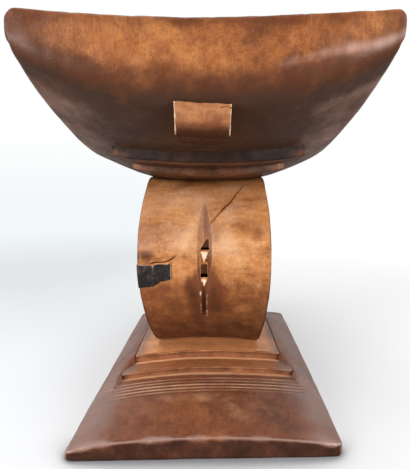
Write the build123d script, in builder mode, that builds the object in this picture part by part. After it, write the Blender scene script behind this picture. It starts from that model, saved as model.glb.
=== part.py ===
from build123d import *

import os

# A stool of the Asante kind, carved from one log: a saddle seat on an open ring,
# on a stepped, domed base. Each carved element is a solid of its own, and it meets
# its neighbours face to face. Only the repair plate and its nails are metal.
# Millimetres, +Z up, origin at the middle of the base's underside.
# X runs along the seat, Y across it.

# ---- driving dimensions: seat ----------------------------------------------------
seat_half_length = 256.0
seat_half_width = 145.2         # before its top corners are rounded
seat_axis_z = 871.0             # height of the axis, along Y, that the seat curves about
seat_top_radius = 575.0         # sitting surface on the centre line
seat_top_dish = 8.5             # how much the sitting surface rises towards its sides
seat_side_lean = 6.0            # the side faces lean in by this much at their foot
seat_side_radius = 589.5        # lower edge of the side faces
seat_belly_radius = 625.0       # underside on the centre line
seat_keel_half = 80.0           # half width of the flatter middle of the underside
seat_keel_rise = 8.6            # rise of the underside at the edge of that middle
seat_corner_round = 9.0
seat_rim_round = 4.0            # rounding along the lower edge of the side faces
seat_end_round = 4.0            # rounding all round the end faces
seat_sweep = 64.0               # degrees of the curve, more than the seat's length takes

# ---- driving dimensions: steps cut under the seat -----------------------------------
# name, front at the middle, front at the sides, half width, height of the lower face
seat_steps = [
    ("seat_step_outer", 171.0, 150.0, 92.2, 259.7),
    ("seat_step_inner", 120.0, 103.0, 80.7, 250.4),
]
seat_step_y = 2.7               # the steps stand a little to one side
seat_step_camber = 8.0          # rise of a step's lower face at its sides

# ---- driving dimensions: grip lugs under the seat's ends ------------------------------
lug_half_width = 21.2
lug_front_x = 250.0
lug_bottom_z = 276.5
lug_nose_radius = 7.5

# ---- driving dimensions: ring -----------------------------------------------------
ring_radius = 104.0
ring_wall = 26.0
ring_z = 148.5
ring_edge = 1.2
# the cheeks swell: (height, Y of the left cheek, Y of the right cheek)
ring_head = (256.0, -69.0, 68.5)
ring_waist = (160.0, -74.7, 72.2)
ring_foot = (44.0, -59.5, 64.5)

# ---- driving dimensions: spindle slot through the ring's band ---------------------------
slot_places = [(1, -1.5), (-1, 6.0)]    # end of the ring, and Y of its slot
slot_tip_z = 223.0
slot_waist_z = 172.0
slot_tail_z = 121.0
slot_half_width = 6.2
slot_depth = 4.0
groove_half_width = 2.0
groove_end_z = 92.0
groove_depth = 7.0
# windows through the band: height of the head, half width there, foot, half width there
slot_windows = [(180.5, 1.2, 169.5, 4.6), (153.5, 3.2, 138.5, 3.8)]

# ---- driving dimensions: repair plate and its nails -------------------------------------
plate_thickness = 1.0
plate_inner_y = -37.5
plate_top_z = 153.3
plate_foot_z = (127.5, 137.5)   # at the cheek and at the inner end
plate_cheek_depth = 24.0        # how far the folded leaf reaches round the cheek
nail_head_radius = 1.6
nail_head_height = 0.8
nail_head_taper = 35.0
nail_shank_radius = 0.7
nail_length = 12.0
nail_point = 1.6
nail_point_radius = 0.1
nails_in_band = [(-66.0, 146.5), (-56.0, 138.5), (-43.0, 144.0)]        # (Y, Z)
nails_in_cheek = [(93.0, 144.5), (86.0, 138.5)]                         # (X, Z)

# ---- driving dimensions: base and plinth ----------------------------------------------
base_half_length = 212.0
base_corner_round = 8.0
# X, Y of the left side, Y of the right side, height on the centre line and at the sides;
# the right side flares towards the back
base_stations = [
    (-base_half_length, -118.5, 136.0, 20.0, 6.0),
    (0.0, -119.5, 131.5, 37.7, 13.0),
    (base_half_length, -122.3, 125.3, 20.0, 6.0),
]
base_crown_half = 90.0          # half width of the gently domed middle
base_crown_drop = (7.0, 4.5)    # fall of the dome at the left and right of that middle
base_overrun = (4.0, 5.0)       # how far the domed top runs out past the sides, and falls
base_underrun = 12.0            # depth of the domed blank below the flat underside
# name, half length, half width, height on the centre line
plinth_steps = [
    ("plinth_step_lower", 103.0, 95.6, 40.0),
    ("plinth_step_upper", 75.0, 84.5, 48.5),
]
plinth_y = 2.7                  # the dome and the plinth stand a little to one side
plinth_camber = (7.0, 4.5)      # fall of a step's top at its left and right sides
plinth_edge = 1.0

os.makedirs("parts", exist_ok=True)


def belly_line():
    """Underside of the seat's cross section: a flat middle arc and two tighter ones."""
    keel_edge = seat_belly_radius - seat_keel_rise
    rim_y = seat_half_width - seat_side_lean
    keel = ThreePointArc(
        (-seat_keel_half, -keel_edge),
        (0, -seat_belly_radius),
        (seat_keel_half, -keel_edge),
    )
    right = TangentArc(keel @ 1, (rim_y, -seat_side_radius), tangent=keel % 1)
    left = TangentArc(keel @ 0, (-rim_y, -seat_side_radius), tangent=-(keel % 0))
    return left @ 1, right @ 1


def save(node, name):
    """Label a finished piece and write it under its name."""
    node.part.label = name
    export_step(node.part, f"parts/{name}.step")


# The seat's sections stand on its axis, turned to one end of the sweep. In them X is
# the distance across the seat, and -Y the distance down from the axis.
seat_axis = Axis((0, 0, seat_axis_z), (0, 1, 0))
seat_turn = Pos(0, 0, seat_axis_z) * Rotation(0, -seat_sweep / 2, 0)
seat_plane = Plane(seat_turn * Plane.YZ.location)

# ---- seat: a thick saddle, cut square at both ends -----------------------------------
with BuildPart() as seat:
    with BuildSketch(seat_plane) as seat_section:
        with BuildLine():
            left_rim, right_rim = belly_line()
            top_side = -(seat_top_radius - seat_top_dish)
            ThreePointArc(
                (-seat_half_width, top_side),
                (0, -seat_top_radius),
                (seat_half_width, top_side),
            )
            Line((-seat_half_width, top_side), left_rim)
            Line((seat_half_width, top_side), right_rim)
        make_face()
        fillet(seat_section.vertices().sort_by(Axis.Y)[-2:], seat_corner_round)
        rim_corners = seat_section.vertices().filter_by_position(
            Axis.Y, -seat_side_radius - 1, -seat_side_radius + 1)
        fillet(rim_corners, seat_rim_round)
    revolve(axis=seat_axis, revolution_arc=seat_sweep)
    with Locations((0, 0, seat_axis_z - seat_top_radius)):
        Box(2 * seat_half_length, 3 * seat_half_width, 300, mode=Mode.INTERSECT)
    end_faces = seat.faces().sort_by(Axis.X)
    fillet(end_faces[0].edges() + end_faces[-1].edges(), seat_end_round)

save(seat, "seat")

# ---- the wood above the seat's underside, which trims all that meets it from below -----
with BuildPart() as above_belly:
    with BuildSketch(seat_plane):
        with BuildLine():
            left_rim, right_rim = belly_line()
            raised = Vector(0, 100)
            Polyline(left_rim, left_rim + raised, right_rim + raised, right_rim)
        make_face()
    revolve(axis=seat_axis, revolution_arc=seat_sweep)

# ---- seat steps: wedges whose upright fronts are bowed, and whose flat lower faces run
# ---- in towards the ring until they meet the underside ----------------------------------
for name, front_x, side_x, half_width, lower_z in seat_steps:
    for end, facing in (("front", 1), ("back", -1)):
        with BuildPart() as seat_step:
            with BuildSketch(Plane.XY.offset(lower_z - 20)):
                with BuildLine():
                    bow = ThreePointArc(
                        (facing * side_x, seat_step_y - half_width),
                        (facing * front_x, seat_step_y),
                        (facing * side_x, seat_step_y + half_width),
                    )
                    Polyline(
                        bow @ 1,
                        (0, seat_step_y + half_width),
                        (0, seat_step_y - half_width),
                        bow @ 0,
                    )
                make_face()
            extrude(amount=80)
            with BuildSketch(Plane((-front_x, seat_step_y, 0), (0, 1, 0), (1, 0, 0))):
                with BuildLine():
                    lower_face = ThreePointArc(
                        (-half_width, lower_z + seat_step_camber),
                        (0, lower_z),
                        (half_width, lower_z + seat_step_camber),
                    )
                    Polyline(
                        lower_face @ 1,
                        (half_width, lower_z - 40),
                        (-half_width, lower_z - 40),
                        lower_face @ 0,
                    )
                make_face()
            extrude(amount=2 * front_x, mode=Mode.SUBTRACT)
            add(above_belly.part, mode=Mode.SUBTRACT)
        save(seat_step, f"{name}_{end}")

# ---- grip lugs: short bars with a round nose, left standing under each end of the seat ----
for end, facing in (("front", 1), ("back", -1)):
    with BuildPart() as lug:
        nose_z = lug_bottom_z + lug_nose_radius
        nose_x = lug_front_x - lug_nose_radius
        with BuildSketch(Plane.XZ.offset(-lug_half_width)):
            with BuildLine():
                nose = RadiusArc(
                    (facing * nose_x, lug_bottom_z),
                    (facing * lug_front_x, nose_z),
                    -facing * lug_nose_radius,
                )
                Polyline(
                    nose @ 1,
                    (facing * lug_front_x, nose_z + 30),
                    (facing * nose_x / 2, nose_z + 30),
                    (facing * nose_x / 2, lug_bottom_z),
                    nose @ 0,
                )
            make_face()
        extrude(amount=2 * lug_half_width)
        add(above_belly.part, mode=Mode.SUBTRACT)
    save(lug, f"seat_lug_{end}")

# ---- base: a thin board with a domed top, thickest halfway along -----------------------
with BuildPart() as base:
    beyond, below = base_overrun
    left_drop, right_drop = base_crown_drop
    for x, left_y, right_y, height, rim in base_stations:
        with BuildSketch(Plane.YZ.offset(x)):
            with BuildLine():
                crown = ThreePointArc(
                    (plinth_y - base_crown_half, height - left_drop),
                    (plinth_y, height),
                    (plinth_y + base_crown_half, height - right_drop),
                )
                right_end = (right_y + beyond, rim - below)
                left_end = (left_y - beyond, rim - below)
                right = TangentArc(crown @ 1, right_end, tangent=crown % 1)
                left = TangentArc(crown @ 0, left_end, tangent=-(crown % 0))
                Polyline(
                    left @ 1,
                    (left_end[0], -base_underrun),
                    (right_end[0], -base_underrun),
                    right @ 1,
                )
            make_face()
    loft()
    with BuildSketch() as base_outline:
        with BuildLine():
            right = ThreePointArc(*[(station[0], station[2]) for station in base_stations])
            left = ThreePointArc(*[(station[0], station[1]) for station in base_stations])
            Line(right @ 0, left @ 0)
            Line(right @ 1, left @ 1)
        make_face()
        fillet(base_outline.vertices(), base_corner_round)
    extrude(amount=100, mode=Mode.INTERSECT)

save(base, "base")

# ---- plinth: two low steps on the base, cambered across like it -------------------------
laid = [base]
left_fall, right_fall = plinth_camber
for name, half_length, half_width, height in plinth_steps:
    with BuildPart() as plinth_step:
        with BuildSketch(Plane((-half_length, plinth_y, 0), (0, 1, 0), (1, 0, 0))):
            with BuildLine():
                camber = ThreePointArc(
                    (-half_width, height - left_fall),
                    (0, height),
                    (half_width, height - right_fall),
                )
                Polyline(camber @ 1, (half_width, 5), (-half_width, 5), camber @ 0)
            make_face()
        extrude(amount=2 * half_length)
        top = plinth_step.faces().sort_by(Axis.Z)[-1]
        fillet(top.edges(), plinth_edge)
        for piece in laid:
            add(piece.part, mode=Mode.SUBTRACT)
    save(plinth_step, name)
    laid.append(plinth_step)


def cheek_sketch(swell):
    """Side view of the ring's two swelling cheeks, moved outwards by swell."""
    head_z, head_left, head_right = ring_head
    waist_z, waist_left, waist_right = ring_waist
    foot_z, foot_left, foot_right = ring_foot
    with BuildSketch(Plane.YZ.offset(-2 * ring_radius)) as cheeks:
        with BuildLine():
            left = ThreePointArc(
                (head_left - swell, head_z),
                (waist_left - swell, waist_z),
                (foot_left - swell, foot_z),
            )
            right = ThreePointArc(
                (head_right + swell, head_z),
                (waist_right + swell, waist_z),
                (foot_right + swell, foot_z),
            )
            Line(left @ 0, right @ 0)
            Line(left @ 1, right @ 1)
        make_face()
    return cheeks.sketch


# ---- what is cut out of both ends of the ring's band ---------------------------------------
ring_plane = Plane.XZ.offset(-2 * ring_radius)
ring_across = 4 * ring_radius

# a shallow spindle, pointed at its head
with BuildPart() as slot_spindle:
    for facing, slot_y in slot_places:
        with BuildSketch(Plane.YZ):
            with BuildLine():
                left = ThreePointArc(
                    (slot_y, slot_tip_z),
                    (slot_y - slot_half_width, slot_waist_z),
                    (slot_y - groove_half_width, slot_tail_z),
                )
                right = ThreePointArc(
                    (slot_y, slot_tip_z),
                    (slot_y + slot_half_width, slot_waist_z),
                    (slot_y + groove_half_width, slot_tail_z),
                )
                Line(left @ 1, right @ 1)
            make_face()
        extrude(amount=facing * 2 * ring_radius)
    with BuildSketch(ring_plane):
        with Locations((0, ring_z)):
            Circle(ring_radius - slot_depth)
    extrude(amount=ring_across, mode=Mode.SUBTRACT)

# a narrow, deeper groove that runs on below it
with BuildPart() as slot_groove:
    for facing, slot_y in slot_places:
        with BuildSketch(Plane.YZ):
            with Locations((slot_y, (slot_tail_z + groove_end_z) / 2)):
                Rectangle(2 * groove_half_width, slot_tail_z - groove_end_z)
        extrude(amount=facing * 2 * ring_radius)
    with BuildSketch(ring_plane):
        with Locations((0, ring_z)):
            Circle(ring_radius - groove_depth)
    extrude(amount=ring_across, mode=Mode.SUBTRACT)

# two windows right through the band, which leave two small rungs between them
with BuildPart() as slot_openings:
    for facing, slot_y in slot_places:
        for head_z, head_half, foot_z, foot_half in slot_windows:
            with BuildSketch(Plane.YZ):
                with BuildLine():
                    Polyline(
                        (slot_y - head_half, head_z),
                        (slot_y + head_half, head_z),
                        (slot_y + foot_half, foot_z),
                        (slot_y - foot_half, foot_z),
                        close=True,
                    )
                make_face()
            extrude(amount=facing * 2 * ring_radius)


def nail_at(plane):
    """One clout nail, with the underside of its head on the plane and its point below."""
    straight = nail_length - nail_point
    with BuildPart() as nail:
        with BuildSketch():
            Circle(nail_head_radius)
        extrude(amount=nail_head_height, taper=nail_head_taper)
        with BuildSketch():
            Circle(nail_shank_radius)
        extrude(amount=-straight)
        with Locations((0, 0, -straight - nail_point / 2)):
            Cone(nail_point_radius, nail_shank_radius, nail_point)
    return plane.location * nail.part


def cheek_y(z):
    """Y of the ring's left cheek at height z."""
    head_z, head_left, _ = ring_head
    waist_z, waist_left, _ = ring_waist
    foot_z, foot_left, _ = ring_foot
    cheek = ThreePointArc((head_left, head_z), (waist_left, waist_z), (foot_left, foot_z))
    radius = cheek.radius
    centre = cheek.arc_center
    return centre.X - (radius**2 - (z - centre.Y) ** 2) ** 0.5


# ---- the nails, in the band and in the left cheek, which they pierce ------------------------
nails = []
for y, z in nails_in_band:
    x = ((ring_radius + plate_thickness) ** 2 - (z - ring_z) ** 2) ** 0.5
    nails.append(nail_at(Plane((x, y, z), x_dir=(0, 1, 0), z_dir=(x, 0, z - ring_z))))
for x, z in nails_in_cheek:
    y = cheek_y(z) - plate_thickness
    nails.append(nail_at(Plane((x, y, z), x_dir=(1, 0, 0), z_dir=(0, -1, 0))))

# ---- ring: an open hoop that carries the seat, its axis across the stool ------------------
with BuildPart() as ring_blank:
    with BuildSketch(ring_plane):
        with Locations((0, ring_z)):
            Circle(ring_radius)
            Circle(ring_radius - ring_wall, mode=Mode.SUBTRACT)
    extrude(amount=ring_across)
    extrude(cheek_sketch(0), amount=ring_across, mode=Mode.INTERSECT)
    fillet(ring_blank.faces().filter_by(GeomType.CYLINDER).edges(), ring_edge)

with BuildPart() as ring_support:
    add(ring_blank.part)
    for piece in (above_belly, *laid, slot_spindle, slot_groove, slot_openings):
        add(piece.part, mode=Mode.SUBTRACT)
    add(nails, mode=Mode.SUBTRACT)

save(ring_support, "ring_support")

# ---- repair plate: thin iron folded round the edge of the band and nailed on --------------
with BuildPart() as repair_plate:
    with BuildSketch(ring_plane):
        with Locations((0, ring_z)):
            Circle(ring_radius + plate_thickness)
            Circle(ring_radius - plate_cheek_depth, mode=Mode.SUBTRACT)
    extrude(amount=ring_across)
    extrude(cheek_sketch(plate_thickness), amount=ring_across, mode=Mode.INTERSECT)
    with BuildSketch(Plane.YZ):
        with BuildLine():
            Polyline(
                (-ring_radius, plate_foot_z[0] - 2),
                (plate_inner_y, plate_foot_z[1]),
                (plate_inner_y, plate_top_z),
                (-ring_radius, plate_top_z),
                close=True,
            )
        make_face()
    extrude(amount=2 * ring_radius, mode=Mode.INTERSECT)
    add(ring_blank.part, mode=Mode.SUBTRACT)
    add(nails, mode=Mode.SUBTRACT)

save(repair_plate, "repair_plate")

# ---- nails: five small clouts, driven through the plate into the wood ---------------------
with BuildPart() as repair_nails:
    add(nails)

save(repair_nails, "repair_nails")
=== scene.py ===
import math
import bpy
import numpy as np
from mathutils import Euler, Matrix, Vector


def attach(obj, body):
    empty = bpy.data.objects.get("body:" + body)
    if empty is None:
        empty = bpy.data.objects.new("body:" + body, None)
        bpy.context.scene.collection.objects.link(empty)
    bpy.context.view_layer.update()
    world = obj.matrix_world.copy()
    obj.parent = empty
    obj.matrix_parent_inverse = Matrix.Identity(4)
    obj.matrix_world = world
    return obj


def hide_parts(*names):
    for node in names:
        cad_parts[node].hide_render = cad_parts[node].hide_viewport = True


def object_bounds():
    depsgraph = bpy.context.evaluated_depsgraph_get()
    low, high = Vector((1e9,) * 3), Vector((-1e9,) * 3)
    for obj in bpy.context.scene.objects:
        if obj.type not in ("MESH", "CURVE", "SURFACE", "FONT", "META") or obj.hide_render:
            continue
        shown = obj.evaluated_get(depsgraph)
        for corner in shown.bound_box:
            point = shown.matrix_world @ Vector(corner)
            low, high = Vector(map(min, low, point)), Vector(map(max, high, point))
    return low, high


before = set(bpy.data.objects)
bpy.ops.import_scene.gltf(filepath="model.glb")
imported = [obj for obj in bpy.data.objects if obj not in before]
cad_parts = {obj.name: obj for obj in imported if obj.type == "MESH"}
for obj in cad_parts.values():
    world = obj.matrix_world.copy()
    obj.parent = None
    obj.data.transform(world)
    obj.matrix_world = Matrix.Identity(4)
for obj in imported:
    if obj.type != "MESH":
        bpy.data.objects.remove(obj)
cad_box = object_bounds()

# ---- camera --------------------------------------------------------------------------
# It stands low before the near end of the stool, which is at +X, almost on the long axis
# of the seat, and looks down a little. From there -Y is left and +Y is right.
camera_place = (0.57549, 0.00699, 0.23422)
camera_pitch = 0.099
camera_yaw = 0.016
camera_roll = 0.004
camera_turn = Euler((math.pi / 2 - camera_pitch, 0, math.pi / 2 + camera_yaw)).to_matrix()
camera_turn = camera_turn @ Matrix.Rotation(camera_roll, 3, "Z")
bpy.ops.object.camera_add(location=camera_place, rotation=camera_turn.to_euler())
camera = bpy.context.object
camera.data.lens = 33.77
camera.data.sensor_width = 36
camera.data.clip_start = 0.01
bpy.context.scene.camera = camera
bpy.context.scene.view_settings.view_transform = "Standard"

# ---- studio --------------------------------------------------------------------------
# A pale sheet of paper, two large soft lamps in front, one overhead and a white room.
# What the camera sees of the paper turns to pure white further off, and near the stool
# it keeps the shadow.


def put(tree, kind, sockets, **settings):
    """Add a shader node with its settings, and give each named socket a value or a link."""
    node = tree.nodes.new("ShaderNode" + kind)
    for name, value in settings.items():
        setattr(node, name, value)
    for name, value in sockets.items():
        if isinstance(value, bpy.types.NodeSocket):
            tree.links.new(value, node.inputs[name])
        else:
            node.inputs[name].default_value = value
    return node


def new_material(name):
    """An empty node material, with its node tree."""
    material = bpy.data.materials.new(name)
    material.use_nodes = True
    material.node_tree.nodes.clear()
    return material, material.node_tree


def ease(tree, value, low, high, to_low=0.0, to_high=1.0):
    """A smooth step of a value from one range to another."""
    return put(tree, "MapRange", {
        "Value": value, "From Min": low, "From Max": high, "To Min": to_low, "To Max": to_high,
    }, interpolation_type="SMOOTHSTEP").outputs[0]


def blend(tree, share, first, second):
    """Mix two colours by a share."""
    return put(tree, "Mix", {0: share, 6: first, 7: second}, data_type="RGBA").outputs[2]


def math_of(tree, kind, first, second):
    """One sum of two numbers."""
    return put(tree, "Math", {0: first, 1: second}, operation=kind).outputs[0]


paper_seen = (0.97, 0.98, 1, 1)      # to the camera
paper_shade = (0.30, 0.30, 0.32, 1)   # to the camera, close under the stool
paper_felt = (0.34, 0.34, 0.35, 1)    # to the stool, which it lights little from below
bright = (1, 1, 1, 1)
cool_bright = (0.89, 0.93, 0.95, 1)
cool_near = (0.74, 0.77, 0.79, 1)
paper_wide = 9
contact_reach = 0.09                  # how near a thing must be to shade the paper
bpy.ops.mesh.primitive_plane_add(size=paper_wide)
floor = bpy.context.object
floor.name = "floor"
paper, tree = new_material("paper")
seen = put(tree, "LightPath", {}).outputs["Is Camera Ray"]
place = put(tree, "TexCoord", {}).outputs["Object"]
away = put(tree, "VectorMath", {0: place}, operation="LENGTH").outputs["Value"]
along_x, sideways, _ = put(tree, "SeparateXYZ", {0: place}).outputs
closed_in = put(tree, "AmbientOcclusion", {"Distance": contact_reach}, samples=8).outputs["AO"]
# this contact shadow shows only before the base's near end
before_base = ease(tree, along_x, 0.16, 0.215)
shadow = ease(tree, closed_in, 0.61, 1.05)
open_air = put(tree, "Mix", {0: before_base, 2: 1.0, 3: shadow}).outputs[0]
lift = math_of(tree, "MULTIPLY", math_of(tree, "MULTIPLY", seen, open_air),
               ease(tree, away, 0.2, 1.2, 0.35, 1))
shaded = blend(tree, open_air, paper_shade, paper_seen)
matt = put(tree, "BsdfDiffuse", {"Color": blend(tree, seen, paper_felt, shaded)}).outputs[0]
near_left = blend(tree, ease(tree, away, 0.4, 2.2), cool_near, cool_bright)
sky = blend(tree, ease(tree, sideways, 0.1, -0.35), bright, near_left)
white = put(tree, "Emission", {"Color": sky, "Strength": 1}).outputs[0]
mixed = put(tree, "MixShader", {0: lift, 1: matt, 2: white}).outputs[0]
put(tree, "OutputMaterial", {"Surface": mixed})
floor.data.materials.append(paper)

lit_place = Vector((0.05, 0, 0.2))
for name, place, size, power in (
    ("lamp_left", (1.15, -1.10, 0.40), 0.8, 19),
    ("lamp_right", (1.15, 1.10, 0.34), 0.7, 16),
    ("lamp_top", (0.6, -0.3, 1.75), 1.3, 15),
):
    bpy.ops.object.light_add(type="AREA", location=place)
    lamp = bpy.context.object
    lamp.name = name
    lamp.data.size = size
    lamp.data.energy = power
    aim = Vector(place) - lit_place
    lamp.rotation_euler = aim.to_track_quat("Z", "Y").to_euler()

room_light = 0.60
room_dark = 0.12        # behind the camera
room = bpy.data.worlds.new("white_room")
bpy.context.scene.world = room
room.use_nodes = True
tree = room.node_tree
tree.nodes.clear()
seen = put(tree, "LightPath", {}).outputs["Is Camera Ray"]
toward = put(tree, "SeparateXYZ", {0: put(tree, "TexCoord", {}).outputs["Generated"]}).outputs
cool = math_of(tree, "MULTIPLY", ease(tree, toward["Y"], 0.05, -0.2),
               ease(tree, toward["Z"], 0.14, -0.05))
sky = blend(tree, cool, bright, cool_bright)
felt = ease(tree, toward["X"], 0.1, 0.9, room_light, room_dark)
glow = put(tree, "Mix", {0: seen, 2: felt, 3: 1.0}).outputs[0]
air = put(tree, "Background", {"Color": sky, "Strength": glow}).outputs[0]
put(tree, "OutputWorld", {"Surface": air})

# ---- wood ----------------------------------------------------------------------------
# One log of a pale, close wood: rubbed with oil, stained and handled for years. Its
# mottle and pores run through the whole block, so every carved face shows them.


def new_group(name, inputs, outputs):
    """A shader node group with named sockets: its tree, its inputs and its output node."""
    tree = bpy.data.node_groups.new(name, "ShaderNodeTree")
    for socket, kind in inputs:
        tree.interface.new_socket(socket, in_out="INPUT", socket_type="NodeSocket" + kind)
    for socket, kind in outputs:
        tree.interface.new_socket(socket, in_out="OUTPUT", socket_type="NodeSocket" + kind)
    return tree, tree.nodes.new("NodeGroupInput").outputs, tree.nodes.new("NodeGroupOutput")


pore_colour = (0.045, 0.018, 0.012, 1)
wood_figure, given, result = new_group(
    "wood_figure",
    [("Point", "Vector"), ("Stretch", "Vector"), ("Dark", "Color"), ("Middle", "Color"),
     ("Light", "Color"), ("Patches", "Float"), ("Mottle", "Float"), ("Grain", "Float")],
    [("Color", "Color"), ("Height", "Float")])
tree = wood_figure
drawn = put(tree, "VectorMath", {0: given["Point"], 1: given["Stretch"]},
            operation="MULTIPLY").outputs[0]
large = put(tree, "TexNoise", {
    "Vector": drawn, "Scale": given["Patches"], "Detail": 5, "Roughness": 0.62,
    "Distortion": 0.8}).outputs["Fac"]
close = put(tree, "TexNoise", {
    "Vector": drawn, "Scale": math_of(tree, "MULTIPLY", given["Patches"], 5.3), "Detail": 4,
    "Roughness": 0.6, "Distortion": 0.3}).outputs["Fac"]
both = put(tree, "Mix", {0: 0.34, 2: large, 3: close}).outputs[0]
spread = math_of(tree, "MULTIPLY", math_of(tree, "SUBTRACT", both, 0.5), given["Mottle"])
figure = math_of(tree, "ADD", spread, 0.5)
tone = blend(tree, ease(tree, figure, 0.31, 0.52), given["Dark"], given["Middle"])
tone = blend(tree, ease(tree, figure, 0.51, 0.68), tone, given["Light"])
along = put(tree, "Mapping", {"Vector": given["Point"], "Scale": (0.09, 1, 1)}).outputs[0]
streak = put(tree, "TexNoise", {"Vector": along, "Scale": 520, "Detail": 3, "Roughness": 0.7})
streak = ease(tree, streak.outputs["Fac"], 0.3, 0.72)
tone = blend(tree, math_of(tree, "MULTIPLY", streak, given["Grain"]), tone, pore_colour)
cells = put(tree, "TexVoronoi", {"Vector": along, "Scale": 330}).outputs["Distance"]
in_groups = ease(tree, close, 0.5, 0.62, 0, 0.5)
pores = math_of(tree, "MULTIPLY", ease(tree, cells, 0.1, 0.26, 1, 0), in_groups)
tone = blend(tree, pores, tone, pore_colour)
speckle = put(tree, "TexNoise", {
    "Vector": given["Point"], "Scale": 230, "Detail": 5, "Roughness": 0.85}).outputs["Fac"]
tone = blend(tree, ease(tree, speckle, 0.50, 0.66, 0, 0.62), tone, given["Dark"])
tone = blend(tree, ease(tree, speckle, 0.47, 0.34, 0, 0.45), tone, given["Light"])
# fine upright scratches, where the wood is palest
upright = put(tree, "Mapping", {"Vector": given["Point"], "Scale": (1, 1, 0.06)}).outputs[0]
scratch = put(tree, "TexNoise", {"Vector": upright, "Scale": 700, "Detail": 1}).outputs["Fac"]
scratch = math_of(tree, "MULTIPLY", ease(tree, scratch, 0.62, 0.71, 0, 0.55),
                  ease(tree, large, 0.42, 0.58))
tone = blend(tree, scratch, tone, given["Light"])
height = math_of(tree, "SUBTRACT", math_of(tree, "ADD", close, streak), pores)
tree.links.new(tone, result.inputs["Color"])
tree.links.new(height, result.inputs["Height"])

# What use does to it, with light and shade painted in: golden where it is cleanest and
# lighter with painted light, stained like wine and darker with painted shade, sooty with
# smoke and dirt and darker with painted shade, hazed with dust and with a painted sheen,
# and pale where an edge is rubbed bare. Stained, shaded and sooty wood shines less. Each
# mark is an attribute of the piece's points, and a cloud breaks up its border.
# name, scale of its cloud, strength at which it begins and at which it covers the wood
marks = (
    ("fresh", 45, 0.15, 0.95),
    ("stain", 60, 0.15, 0.90),
    ("grime", 45, 0.08, 0.95),
    ("haze", 30, 0.10, 1.10),
    ("worn", 140, 0.32, 0.72),
)
handling_and_painted_light, given, result = new_group(
    "handling_and_painted_light",
    [("Point", "Vector"), ("Color", "Color"), ("Polish", "Float")]
    + [(mark, "Float") for mark, *_ in marks] + [(f"{mark} tone", "Color") for mark, *_ in marks],
    [("Color", "Color"), ("Roughness", "Float"), ("Sheen", "Float")])
tree = handling_and_painted_light
tone = given["Color"]
for mark, size, low, high in marks:
    cloud = put(tree, "TexNoise", {
        "Vector": given["Point"], "Scale": size, "Detail": 4, "Roughness": 0.65}).outputs["Fac"]
    strength = math_of(tree, "ADD", math_of(tree, "SUBTRACT", cloud, 0.5), given[mark])
    tone = blend(tree, ease(tree, strength, low, high), tone, given[f"{mark} tone"])
    if mark == "stain":
        sheen = ease(tree, strength, low, high, 0.42, 0.22)
    if mark == "grime":
        sheen = math_of(tree, "MULTIPLY", sheen, ease(tree, strength, low, high, 1, 0.24))
uneven = ease(tree, cloud, 0.35, 0.65, -0.06, 0.08)
tree.links.new(tone, result.inputs["Color"])
tree.links.new(math_of(tree, "ADD", given["Polish"], uneven), result.inputs["Roughness"])
tree.links.new(sheen, result.inputs["Sheen"])


def wood_material(name, tones, patches=20.0, stretch=(1, 1, 1), mottle=1.0, grain=0.25,
                  polish=0.4, relief=0.15):
    """Oiled wood of this stool, with the marks and the painted light and shade that the piece's
    own attributes give.
    """
    material, tree = new_material(name)
    point = put(tree, "TexCoord", {}).outputs["Object"]
    figure = put(tree, "Group", {
        "Point": point, "Stretch": stretch, "Dark": (*tones["dark"], 1),
        "Middle": (*tones["middle"], 1), "Light": (*tones["light"], 1), "Patches": patches,
        "Mottle": mottle, "Grain": grain}, node_tree=wood_figure).outputs
    sockets = {"Point": point, "Color": figure["Color"], "Polish": polish}
    for mark, *_ in marks:
        sockets[mark] = put(tree, "Attribute", {}, attribute_name=mark).outputs["Fac"]
        sockets[f"{mark} tone"] = (*tones[mark], 1)
    used = put(tree, "Group", sockets, node_tree=handling_and_painted_light).outputs
    bump = put(tree, "Bump", {"Height": figure["Height"], "Strength": relief,
                              "Distance": 0.0006}).outputs[0]
    surface = put(tree, "BsdfPrincipled", {
        "Base Color": used["Color"], "Roughness": used["Roughness"], "Normal": bump,
        "Specular IOR Level": used["Sheen"]}).outputs[0]
    put(tree, "OutputMaterial", {"Surface": surface})
    return material


seat_tones = {
    "dark": (0.150, 0.045, 0.015), "middle": (0.320, 0.102, 0.028), "light": (0.46, 0.172, 0.050),
    "fresh": (0.50, 0.190, 0.050), "stain": (0.105, 0.030, 0.011), "grime": (0.070, 0.034, 0.021),
    "haze": (0.50, 0.29, 0.22), "worn": (0.60, 0.33, 0.19),
}
seat_wood = wood_material("seat_wood", seat_tones, patches=17, stretch=(0.3, 1, 1),
                          mottle=1.3, grain=0.3, polish=0.34)

# ---- seat ----------------------------------------------------------------------------
# A thick saddle that curves up to both ends. It is adzed and scraped from the log, so
# no face of it is quite true: its edges are rubbed round, and its underside is dark.


def block(name, cuts):
    """A cube two units long and wide and one high, on the floor, with cuts across X, Y and Z."""
    bpy.ops.object.select_all(action="DESELECT")
    bpy.ops.mesh.primitive_cube_add(size=2, location=(0, 0, 0))
    piece = bpy.context.object
    piece.name = name
    mesh = piece.data
    mesh.transform(Matrix.Translation((0, 0, 0.5)) @ Matrix.Diagonal((1, 1, 0.5, 1)))
    for axis, number in enumerate(cuts):
        bpy.ops.object.mode_set(mode="EDIT")
        bpy.ops.mesh.select_mode(type="EDGE")
        bpy.ops.mesh.select_all(action="DESELECT")
        bpy.ops.object.mode_set(mode="OBJECT")
        for edge in mesh.edges:
            first, last = (mesh.vertices[i].co[axis] for i in edge.vertices)
            edge.select = abs(first - last) > 1e-6
        bpy.ops.object.mode_set(mode="EDIT")
        bpy.ops.mesh.subdivide(number_cuts=number)
        bpy.ops.object.mode_set(mode="OBJECT")
    return piece


def points_of(piece):
    """X, Y and Z of a piece's points, as three arrays."""
    flat = np.empty(len(piece.data.vertices) * 3)
    piece.data.vertices.foreach_get("co", flat)
    return flat.reshape(-1, 3).T.copy()


def set_points(piece, x, y, z):
    """Move a piece's points."""
    piece.data.vertices.foreach_set("co", np.stack([x, y, z], 1).ravel())
    piece.data.update()


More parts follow.
